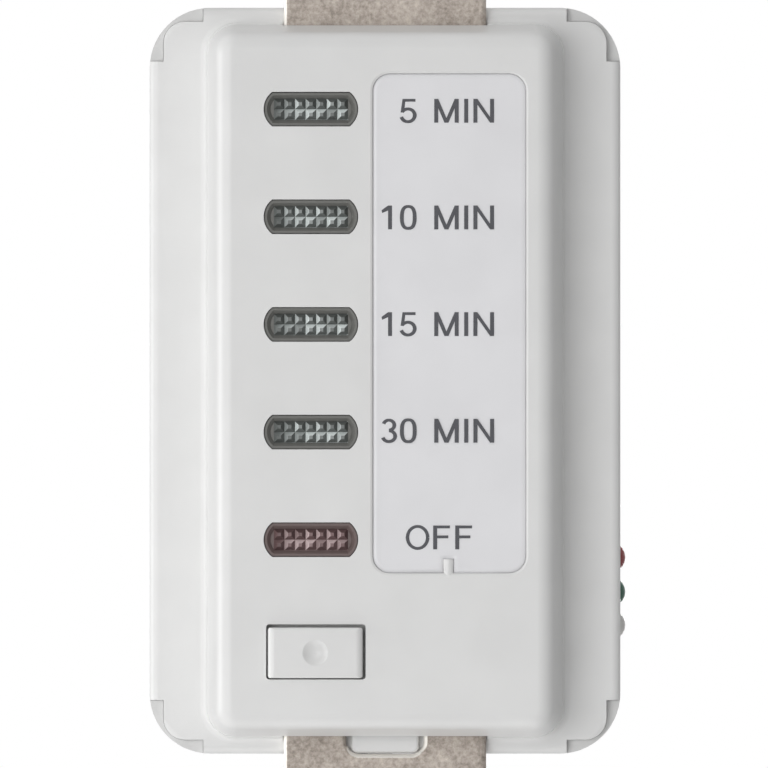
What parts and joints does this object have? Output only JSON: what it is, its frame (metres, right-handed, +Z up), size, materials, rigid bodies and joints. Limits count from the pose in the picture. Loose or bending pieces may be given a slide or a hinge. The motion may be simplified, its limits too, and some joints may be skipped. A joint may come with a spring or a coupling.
{
  "type": "in-wall timer switch",
  "caption": "Countdown timer switch for a wall box: raised white face with lit time windows, legend plate and push button on a steel mounting strap, sealed housing with wire leads behind.",
  "frame": {"origin": "centre of the mounting strap's rear face, midway between the box screw slots", "axes": "+Z up along the strap, -Y towards the user, +X to the user's right"},
  "size_m": [0.0452, 0.0762, 0.1822],
  "materials": {
    "cover_plastic": "moulded white, satin",
    "button_plastic": "moulded white, satin",
    "legend_plastic": "white with dark grey legends",
    "housing_plastic": "moulded pale grey, fine grain",
    "lens_green": "smoky grey-green, prismatic",
    "lens_red": "dark red, prismatic",
    "zinc_steel": "galvanised strip",
    "screw_steel": "zinc plated",
    "iron": "nickel plated iron",
    "brass": "plain",
    "tin": "tinned",
    "copper": "bare copper strands",
    "control_board_green": "solder mask",
    "power_board_tan": "bare laminate",
    "black_plastic": "moulded",
    "lamp_white": "lamp body",
    "amber_film": "film",
    "capacitor_yellow": "box capacitor",
    "capacitor_blue": "sleeve",
    "varistor_blue": "dipped",
    "resistor_green": "coated",
    "relay_blue": "moulded",
    "coil_copper": "enamelled winding",
    "lead_red": "PVC insulation",
    "lead_green": "PVC insulation",
    "lead_white": "PVC insulation",
    "lead_black": "PVC insulation"
  },
  "bodies": {
    "switch": {"front_cover": "cover_plastic", "legend_plate": "legend_plastic", "lens_5_min": "lens_green", "lens_10_min": "lens_green", "lens_15_min": "lens_green", "lens_30_min": "lens_green", "lens_off": "lens_red", "switch_body": "black_plastic", "control_board": "control_board_green", "green_leds": "lamp_white", "red_led": "lamp_white", "microcontroller": "black_plastic", "timing_crystal": "tin", "led_resistors": "black_plastic", "insulator_sheet": "amber_film", "mounting_strap": "zinc_steel", "ground_rivet": "tin", "ground_tab": "brass", "link_header": "black_plastic", "header_pins": "brass", "power_board": "power_board_tan", "relay_base": "relay_blue", "relay_cover": "relay_blue", "relay_yoke": "iron", "relay_coil": "coil_copper", "fixed_contacts": "brass", "film_capacitor": "capacitor_yellow", "filter_capacitors": "capacitor_blue", "varistor": "varistor_blue", "rectifier_diodes": "black_plastic", "fuse_resistor": "resistor_green", "relay_driver": "black_plastic", "rear_housing": "housing_plastic", "housing_screws": "screw_steel", "lead_tails": "tin", "red_lead": "lead_red", "green_lead": "lead_green", "white_lead": "lead_white", "black_lead": "lead_black", "red_lead_tip": "copper", "green_lead_tip": "copper", "white_lead_tip": "copper", "black_lead_tip": "copper"},
    "button": {"push_button": "button_plastic", "switch_plunger": "black_plastic"},
    "armature": {"relay_armature": "iron", "contact_blade": "brass"}
  },
  "joints": [
    {"name": "button_press", "type": "slide", "parent": "switch", "child": "button", "axis": [0, 1, 0], "range_m": [0, 0.0005], "stiffness_N_per_m": 1600, "springref_m": -0.0005},
    {"name": "armature_swing", "type": "hinge", "parent": "switch", "child": "armature", "pos_m": [-0.0099, 0.02235, 0.0056], "axis": [1, 0, 0], "range_deg": [0, 2.5], "stiffness_Nm_per_rad": 0.02, "springref_deg": -5.73}
  ]
}
